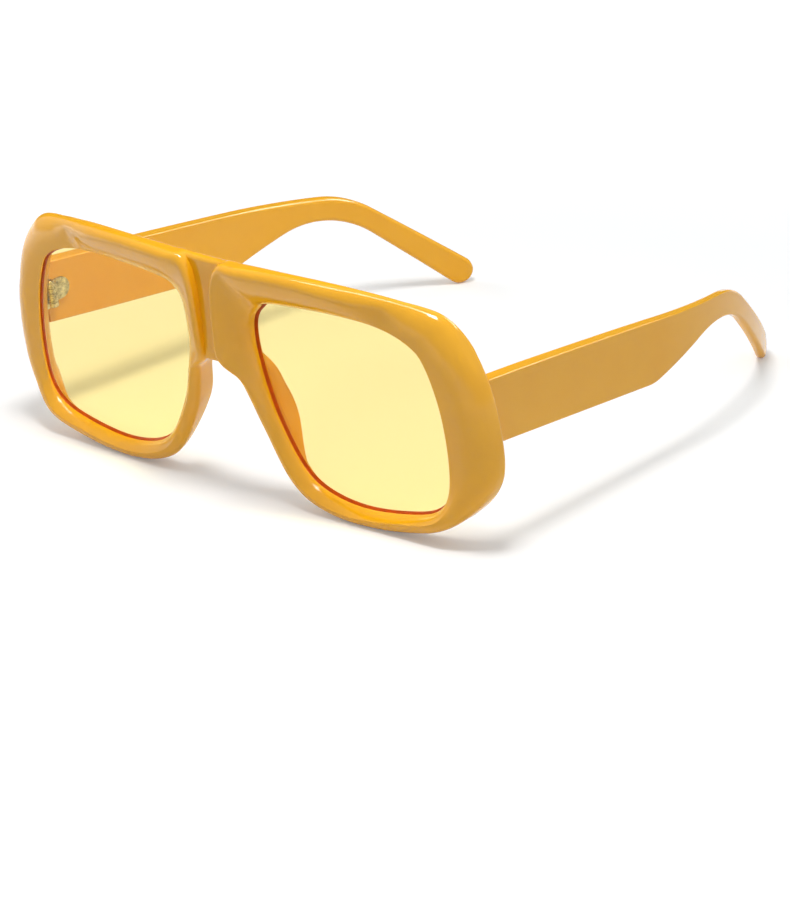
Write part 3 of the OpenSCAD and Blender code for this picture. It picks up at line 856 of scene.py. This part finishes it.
def lens_curve_tree(material, edge):
    """Sweeps a flat lens back by the front's radius, and gives its edge the ground finish and painted
    gap shade.
    """
    tree, given = new_tree("lens curve", {"Radius": "NodeSocketFloat"})
    square = calculate(tree, "POWER", given["Radius"], 2.0)
    rest = calculate(tree, "SUBTRACT", square, calculate(tree, "POWER", position(tree)["X"], 2.0))
    back = calculate(tree, "SUBTRACT", given["Radius"], calculate(tree, "SQRT", rest))
    shift = add(tree, "ShaderNodeCombineXYZ", {"Y": back})[0]
    swept = add(tree, "GeometryNodeSetPosition", {"Geometry": given["Geometry"], "Offset": shift})
    close_tree(tree, swept[0], material, edge)
    return tree


def flat_lens(name, rule):
    """Lens before it is curved: two faces in rings about the middle, and a bevelled edge."""
    size = rule.size
    reach = size.groove_depth - LENS_CLEAR
    rim = [rule.opening(s) + (rule.outline(s) - rule.opening(s)).normalized() * reach
           for s in rule.stations]
    middle = sum(rim, Vector((0, 0))) / len(rim)
    inner, seat = ([p + (middle - p).normalized() * inset for p in rim]
                   for inset in (LENS_BEVEL, GROUND_AND_PAINTED_SHADE_BAND))
    near = GROOVE_SET + LENS_CLEAR
    far = near + size.lens_t
    # Rings from the near face over the edge to the far one: outline, place, and true where ground
    # with the painted gap shade, false where polished
    across = [[middle + (p - middle) * (k / LENS_RINGS) for p in seat]
              for k in range(1, LENS_RINGS + 1)]
    rings = [(outline, near, False) for outline in across]
    rings += [(inner, near, False), (rim, near + LENS_BEVEL, True), (rim, far - LENS_BEVEL, True),
              (inner, far, True)]
    rings += [(outline, far, False) for outline in reversed(across)]
    n = len(rim)
    points = [(p[0], y, p[1]) for outline, y, _ in rings for p in outline]
    faces, ground = [], []
    for i in range(len(rings) - 1):
        faces += [(i * n + k, i * n + (k + 1) % n, (i + 1) * n + (k + 1) % n, (i + 1) * n + k)
                  for k in range(n)]
        ground += [rings[i][2] or rings[i + 1][2]] * n
    for first, y in ((0, near), ((len(rings) - 1) * n, far)):
        points.append((middle[0], y, middle[1]))
        faces += [(first + k, first + (k + 1) % n, len(points) - 1) for k in range(n)]
        ground += [False] * n
    lens = new_piece(name, points, faces)
    # The marked faces take the ground finish, and past the groove they carry painted shade of the gap
    marks = lens.data.attributes.new("ground", "BOOLEAN", "FACE")
    marks.data.foreach_set("value", ground)
    return outward(lens)


class OBJECT_OT_sunglasses_lenses(bpy.types.Operator):
    """Cuts the two lenses to their grooves and curves them to the sweep of the front"""
    bl_idname = "object.sunglasses_lenses"
    bl_label = "Lenses"

    def execute(self, context):
        rule = Front(context.scene.sunglasses_sizes)
        colours = context.scene.sunglasses_colours
        tree = lens_curve_tree(tinted_lens(colours), ground_edge_and_painted_shade(colours))
        for side in SIDES:
            lens = flat_lens("tinted_lens_" + side, rule)
            run_tree(lens, tree, {"Radius": rule.face_r})
            finish_piece(lens, rule.on_side(side), "front", "lens_" + side)
        return {"FINISHED"}


# Temples

def temple_lines(size):
    """Upper and lower line of the temple in its side view, and where its bends begin."""
    top_at_ear = size.temple_len - size.ear_len
    fall = tan(size.pantoscopic)
    half, tip_r = size.temple_h / 2, size.tip_w / 2
    ear_top = Vector((top_at_ear, half - top_at_ear * fall))
    tip = Vector((size.temple_len - tip_r, ear_top[1] - size.ear_drop))
    neck = Vector((top_at_ear - NECK_BACK, ear_top[1] + NECK_BACK * fall - NECK_H))
    knee = Vector((KNEE_AT, half - KNEE_AT * fall - KNEE_SHARE * size.temple_h))
    root_top, root_low = Vector((0, half)), Vector((0, -half))

    def touch(p, way):
        v = tip - p
        return atan2(v[1], v[0]) + way * acos(-tip_r / v.length)

    above, below = touch(ear_top, 1), touch(neck, -1)
    past_top = ear_top + Vector((cos(above - pi / 2), sin(above - pi / 2)))
    past_low = neck + Vector((cos(below + pi / 2), sin(below + pi / 2)))
    top = [root_top] + corner(root_top, ear_top, past_top, size.ear_r, BEND_STEPS)
    top += arc(tip, tip_r, degrees(above), 0, 2 * TIP_STEPS)
    low = [root_low] + corner(root_low, knee, neck, KNEE_R, BEND_STEPS)
    low += corner(knee, neck, past_low, size.ear_r, BEND_STEPS)
    low += arc(tip, tip_r, degrees(below), 0, 2 * TIP_STEPS)
    return top, low, tip, tip_r


def softened(thin, span):
    """Radius of a long edge, which grows over a span of the temple's thinning."""
    first, last = span
    return ROOT_EDGE + (TIP_EDGE - ROOT_EDGE) * eased((thin - first) / (last - first))


def temple_ring(high, deep, near, far, e, f):
    """Section of a temple, inwards and up: edges of one radius outside and one inside, a sloped
    top, and points just inside each flat that keep its shading flat."""
    draft = (far - near) * tan(TOP_DRAFT)
    turn = 90 - degrees(TOP_DRAFT)
    left, right = Vector((near, high - e)), Vector((far, high - draft - f))
    lift = Vector((cos(radians(turn)), sin(radians(turn))))
    top_a, top_b = left + lift * e, right + lift * f
    ease_v = min(FLAT_SHARE * (high - deep - e - f), FLAT_MOST)
    ease_h = FLAT_SHARE * (far - near)
    return (arc(left, e, 180, turn, CORNER_STEPS)
            + [top_a.lerp(top_b, FLAT_SHARE), top_a.lerp(top_b, 1 - FLAT_SHARE)]
            + arc(right, f, turn, 0, CORNER_STEPS)
            + [Vector((far + f, right[1] - ease_v)), Vector((far + f, deep + f + ease_v))]
            + arc((far, deep + f), f, 0, -90, CORNER_STEPS)
            + [Vector((far - ease_h, deep)), Vector((near + ease_h, deep))]
            + arc((near, deep + e), e, -90, -180, CORNER_STEPS)
            + [Vector((near - e, deep + e + ease_v)), Vector((near - e, high - e - ease_v))])


def straight_temple(name, rule):
    """Left temple before its inward curve, along y from the hinge's axis."""
    size = rule.size
    top, low, tip, tip_r = temple_lines(size)
    knee, ear = low[1][0], size.temple_len - size.ear_len
    outer = rule.face_x + size.temple_t
    stations = [0, BUTT_EDGE] + [knee * k / ROOT_STEPS for k in range(1, ROOT_STEPS)]
    stations += [knee + (tip[0] - knee) * k / TEMPLE_STEPS for k in range(TEMPLE_STEPS + 1)]
    stations += [tip[0] + tip_r * sin(radians(90 * (k - TIP_SHORT) / TIP_STEPS))
                 for k in range(1, TIP_STEPS + 1)]
    sections = []
    for at in stations:
        high, deep = lookup(at, top), lookup(at, low)
        high += TOP_CROWN * sin(pi * at / ear) ** CROWN_POWER if at < ear else 0
        thin = min(1, max(0, at - THIN_FROM) / (size.temple_len - THIN_FROM))
        thick = size.temple_t - THIN_BY * ((1 + THIN_CURVE) * thin - THIN_CURVE * thin ** 2)
        past = max(0, TIP_EDGE - size.temple_len + at)
        inset = (TIP_EDGE - sqrt(TIP_EDGE ** 2 - past ** 2)) * TIP_ROUND
        e, f = (min(softened(thin, span), EDGE_SHARE * (high - deep))
                for span in (OUTER_SOFTENS, INNER_SOFTENS))
        if at == 0:
            inset, high, deep = BUTT_EDGE, high - BUTT_EDGE, deep + BUTT_EDGE
        e, f = (min(r, thick / 2 - inset - LEAST_FLAT) for r in (e, f))
        points = []
        for inward, z in temple_ring(high, deep, inset + e, thick - inset - f, e, f):
            x, y = outer - inward, at
            if at <= BUTT_EDGE:
                y += (BUTT_GAP - x * sin(size.temple_in)) / cos(size.temple_in)
            points.append((x, y, z))
        sections.append(points)
    return loft(name, sections, False)


def temple_curve_tree(material):
    """Curves a straight temple inwards from a point on, about a radius beside its outer face."""
    tree, given = new_tree("temple curve", {
        "Start": "NodeSocketFloat", "Radius": "NodeSocketFloat", "Outer face": "NodeSocketFloat"})
    place = position(tree)
    past = calculate(tree, "MAXIMUM", calculate(tree, "SUBTRACT", place["Y"], given["Start"]))
    turn = calculate(tree, "DIVIDE", past, given["Radius"])
    inward = calculate(tree, "SUBTRACT", given["Outer face"], place["X"])
    reach = calculate(tree, "SUBTRACT", given["Radius"], inward)
    across = calculate(tree, "MULTIPLY", reach, calculate(tree, "COSINE", turn))
    middle = calculate(tree, "SUBTRACT", given["Outer face"], given["Radius"])
    along = calculate(tree, "MULTIPLY", reach, calculate(tree, "SINE", turn))
    straight = calculate(tree, "MINIMUM", place["Y"], given["Start"])
    bent = add(tree, "ShaderNodeCombineXYZ",
               {"X": calculate(tree, "ADD", middle, across),
                "Y": calculate(tree, "ADD", straight, along), "Z": place["Z"]})
    swept = add(tree, "GeometryNodeSetPosition",
                {"Geometry": given["Geometry"], "Position": bent[0]})
    close_tree(tree, swept[0], material)
    return tree


def plate_outline(rule, margin):
    """Outline of a hinge plate: square at the barrel and round at its far end."""
    size = rule.size
    far, r = size.plate_len - size.plate_h / 2, size.plate_h / 2 - margin
    return ([Vector((rule.face_x + margin, r)), Vector((rule.face_x + margin, -r))]
            + arc((far, 0), r, -90, 90, PLATE_STEPS))


class OBJECT_OT_sunglasses_temples(bpy.types.Operator):
    """Moulds the two temples straight, curves them inwards and sets them on their hinges"""
    bl_idname = "object.sunglasses_temples"
    bl_label = "Temples"

    def execute(self, context):
        size = context.scene.sunglasses_sizes
        rule = Front(size)
        plastic = moulded_plastic(context.scene.sunglasses_colours)
        tree = temple_curve_tree(plastic)
        for side in SIDES:
            temple = straight_temple("moulded_temple_" + side, rule)
            run_tree(temple, tree, {"Start": size.bend_start, "Radius": size.bend_r,
                                    "Outer face": rule.face_x + size.temple_t})
            pocket = prism("pocket", plate_outline(rule, STUD_MARGIN - POCKET_GAP),
                           rule.face_x - MM, rule.face_x + STUD_DEPTH + POCKET_GAP, "X")
            combine(temple, [pocket], "DIFFERENCE")
            finish_piece(dressed(temple, plastic), rule.at_temple(side), side + "_temple",
                         "temple_" + side)
        return {"FINISHED"}


# Hinges

def knuckle_tree(material):
    """Stacks knuckles up the hinge's axis at an even pitch."""
    tree, given = new_tree("hinge knuckles", {
        "Count": "NodeSocketInt", "Pitch": "NodeSocketFloat", "First": "NodeSocketFloat"})
    base = add(tree, "ShaderNodeCombineXYZ", {"Z": given["First"]})[0]
    step = add(tree, "ShaderNodeCombineXYZ", {"Z": given["Pitch"]})[0]
    row = add(tree, "GeometryNodeMeshLine",
              {"Count": given["Count"], "Start Location": base, "Offset": step}, mode="OFFSET")
    stack = add(tree, "GeometryNodeInstanceOnPoints",
                {"Points": row[0], "Instance": given["Geometry"]})
    close_tree(tree, stack[0], material)
    return tree


def knuckles(name, rule, tree, places):
    """Knuckles of one leaf: one is turned with soft edges and a bore, and the tree stacks it."""
    r, bore, high, e = rule.size.barrel_d / 2, rule.bore_r, rule.knuckle_h, METAL_EDGE
    soft = e * EDGE_MIDDLE
    profile = [(bore, e), (bore + e, 0), (r - e, 0), (r - soft, soft), (r, e),
               (r, high - e), (r - soft, high - soft), (r - e, high), (bore + e, high),
               (bore, high - e), (bore, e)]
    stack = turned(name, profile)
    run_tree(stack, tree, {"Count": len(places), "Pitch": (places[1] - places[0]) * rule.pitch,
                           "First": places[0] * rule.pitch - rule.size.barrel_h / 2})
    return stack


def hinge_leaf(name, rule, tree, places, parts, web_x, web_y):
    """Leaf of knuckles that webs tie to its other parts, bored for the screw."""
    leaf = knuckles(name, rule, tree, places)
    for place in places:
        z = place * rule.pitch - rule.size.barrel_h / 2
        parts.append(block("web", web_x, web_y, (z + WEB_SINK, z + rule.knuckle_h - WEB_SINK)))
    combine(leaf, parts, "UNION")
    r, high = rule.bore_r, rule.size.barrel_h
    bore = turned("bore", [(0, -high), (r, -high), (r, high), (0, high)])
    return combine(leaf, [bore], "DIFFERENCE")


class OBJECT_OT_sunglasses_hinges(bpy.types.Operator):
    """Makes the plated hinge leaves: knuckles, webs, anchors and plates"""
    bl_idname = "object.sunglasses_hinges"
    bl_label = "Hinge leaves"

    def execute(self, context):
        size = context.scene.sunglasses_sizes
        rule = Front(size)
        nickel = nickel_plate(context.scene.sunglasses_colours)
        tree = knuckle_tree(nickel)
        face_x, high = rule.face_x, size.barrel_h / 2
        left, right = ANCHOR_OUT - ANCHOR_W / 2, ANCHOR_OUT + ANCHOR_W / 2
        for side in SIDES:
            anchor = block("anchor", (left, right), (-face_x - ANCHOR_DEPTH, -face_x), (-high, high))
            leaf = hinge_leaf("front_leaf_" + side, rule, tree, (0, 2, 4),
                              [bevelled(anchor, METAL_EDGE)], (left + WEB_SINK, right - WEB_SINK),
                              (-face_x - ANCHOR_DEPTH / 2, -size.barrel_d / 4))
            finish_piece(dressed(leaf, nickel), rule.at_hinge(side), "front",
                         "front_hinge_leaf_" + side)

            plate = prism("plate", plate_outline(rule, 0), face_x - size.plate_t, face_x, "X")
            stud = prism("stud", plate_outline(rule, STUD_MARGIN), face_x - size.plate_t / 2,
                         face_x + STUD_DEPTH, "X")
            leaf = hinge_leaf("temple_leaf_" + side, rule, tree, (1, 3),
                              [bevelled(plate, METAL_EDGE, PLATE_SHARP), stud],
                              (size.barrel_d / 8, face_x - WEB_SINK),
                              (BARREL_GAP, BARREL_GAP + face_x + size.plate_t))
            finish_piece(dressed(leaf, nickel), rule.at_temple(side), side + "_temple",
                         "temple_hinge_leaf_" + side)
        return {"FINISHED"}


class OBJECT_OT_sunglasses_screws(bpy.types.Operator):
    """Turns the two hinge screws and saws their slots"""
    bl_idname = "object.sunglasses_screws"
    bl_label = "Hinge screws"

    def execute(self, context):
        size = context.scene.sunglasses_sizes
        rule = Front(size)
        nickel = nickel_plate(context.scene.sunglasses_colours)
        low, seat = -size.barrel_h / 2 - SCREW_OUT, size.barrel_h / 2 + POCKET_GAP
        r, head, e = size.screw_d / 2, HEAD_D / 2, 2 * METAL_EDGE
        top = seat + HEAD_H
        for side in SIDES:
            profile = [(0, low), (r - e, low), (r, low + e), (r, seat), (head - e / 3, seat),
                       (head, seat + e / 3)]
            profile += arc((head - e, top - e), e, 0, 90, HEAD_STEPS) + [(0, top)]
            screw = turned("hinge_screw_piece_" + side, profile)
            slot = block("slot", (-HEAD_D, HEAD_D), (-SLOT_W / 2, SLOT_W / 2),
                         (top - SLOT_DEPTH, top + MM))
            combine(screw, [slot], "DIFFERENCE")
            finish_piece(dressed(screw, nickel), rule.at_hinge(side), "front",
                         "hinge_screw_" + side)
        return {"FINISHED"}


# Stage

def add_lamp(name, power, size, place, aim, missed):
    """Area lamp that looks at a place, and that one kind of ray may miss."""
    light = bpy.data.lights.new(name, "AREA")
    light.energy = power
    light.shape = "RECTANGLE"
    light.size, light.size_y = size
    lamp = bpy.data.objects.new(name, light)
    bpy.context.scene.collection.objects.link(lamp)
    lamp.location = place
    lamp.rotation_euler = (Vector(aim) - Vector(place)).to_track_quat("-Z", "Y").to_euler()
    if missed:
        setattr(lamp, "visible_" + missed, False)


def surroundings():
    """White to the camera, and for the rest a soft light that grows along one direction."""
    world = bpy.data.worlds.new("studio")
    world.use_nodes = True
    tree = world.node_tree
    tree.nodes.clear()
    way = add(tree, "ShaderNodeTexCoord")["Generated"]
    along = add(tree, "ShaderNodeVectorMath", {0: way, 1: SKY_WAY}, operation="DOT_PRODUCT")
    light = add(tree, "ShaderNodeMapRange",
                {"Value": along["Value"], "From Min": -1.0, "From Max": 1.0,
                 "To Min": SKY_LIGHT[0], "To Max": SKY_LIGHT[1]})["Result"]
    fill = add(tree, "ShaderNodeBackground", {"Color": DAYLIGHT, "Strength": light})
    shown = add(tree, "ShaderNodeBackground", {"Color": WHITE, "Strength": 1.0})
    both = add(tree, "ShaderNodeMixShader", {0: seen(tree, 1.0), 1: fill[0], 2: shown[0]})
    add(tree, "ShaderNodeOutputWorld", {"Surface": both[0]})
    return world


def main_camera():
    """Camera with the photograph's view."""
    camera = bpy.data.objects.new("camera", bpy.data.cameras.new("camera"))
    bpy.context.scene.collection.objects.link(camera)
    right, up = Vector(CAMERA_RIGHT), Vector(CAMERA_UP)
    turn = Matrix((right, up, right.cross(up))).transposed().to_4x4()
    camera.matrix_world = Matrix.Translation(CAMERA_PLACE) @ turn
    camera.data.sensor_fit = "HORIZONTAL"
    camera.data.sensor_width = SENSOR_WIDTH
    camera.data.lens = FOCAL_PIXELS / PICTURE_WIDTH * SENSOR_WIDTH
    camera.data.clip_start = 0.01
    return camera


class SCENE_OT_sunglasses_stage(bpy.types.Operator):
    """Sets the pale table, the soft studio light and the camera"""
    bl_idname = "scene.sunglasses_stage"
    bl_label = "Table, light and camera"

    def execute(self, context):
        scene = context.scene
        half = TABLE_HALF
        corners = [(-half, -half, 0), (half, -half, 0), (half, half, 0), (-half, half, 0)]
        table = new_piece("pale_table", corners, [(0, 1, 2, 3)],
                          plain_table(scene.sunglasses_colours))
        corners = [(*CARD_LEFT, CARD_LOW), (*CARD_RIGHT, CARD_LOW), (*CARD_RIGHT, CARD_HIGH),
                   (*CARD_LEFT, CARD_HIGH)]
        card = new_piece("felt_card", corners, [(0, 1, 2, 3)], felt_card())
        for sight in ("camera", "diffuse", "transmission", "shadow"):
            setattr(card, "visible_" + sight, False)
        scene.world = surroundings()
        for lamp in LAMPS:
            add_lamp(*lamp)
        scene.camera = main_camera()
        scene.view_settings.view_transform = "Standard"
        return {"FINISHED"}


class VIEW3D_PT_sunglasses(bpy.types.Panel):
    """Lists the steps and the sizes of the sunglasses"""
    bl_idname = "VIEW3D_PT_sunglasses"
    bl_label = "Sunglasses"
    bl_space_type = "VIEW_3D"
    bl_region_type = "UI"
    bl_category = "Sunglasses"

    def draw(self, context):
        for operator in OPERATORS:
            self.layout.operator(operator.bl_idname)
        for group in (context.scene.sunglasses_sizes, context.scene.sunglasses_colours):
            for name in group.__annotations__:
                self.layout.prop(group, name)


OPERATORS = (OBJECT_OT_sunglasses_front, OBJECT_OT_sunglasses_lenses, OBJECT_OT_sunglasses_temples,
             OBJECT_OT_sunglasses_hinges, OBJECT_OT_sunglasses_screws, SCENE_OT_sunglasses_stage)
CLASSES = (SunglassesSizes, SunglassesColours) + OPERATORS + (VIEW3D_PT_sunglasses,)


def register():
    for cls in CLASSES:
        bpy.utils.register_class(cls)
    bpy.types.Scene.sunglasses_sizes = PointerProperty(type=SunglassesSizes)
    bpy.types.Scene.sunglasses_colours = PointerProperty(type=SunglassesColours)


def unregister():
    del bpy.types.Scene.sunglasses_colours
    del bpy.types.Scene.sunglasses_sizes
    for cls in reversed(CLASSES):
        bpy.utils.unregister_class(cls)


def main():
    register()
    bpy.ops.object.sunglasses_front()
    bpy.ops.object.sunglasses_lenses()
    bpy.ops.object.sunglasses_temples()
    bpy.ops.object.sunglasses_hinges()
    bpy.ops.object.sunglasses_screws()
    bpy.ops.scene.sunglasses_stage()


if __name__ == "__main__":
    main()
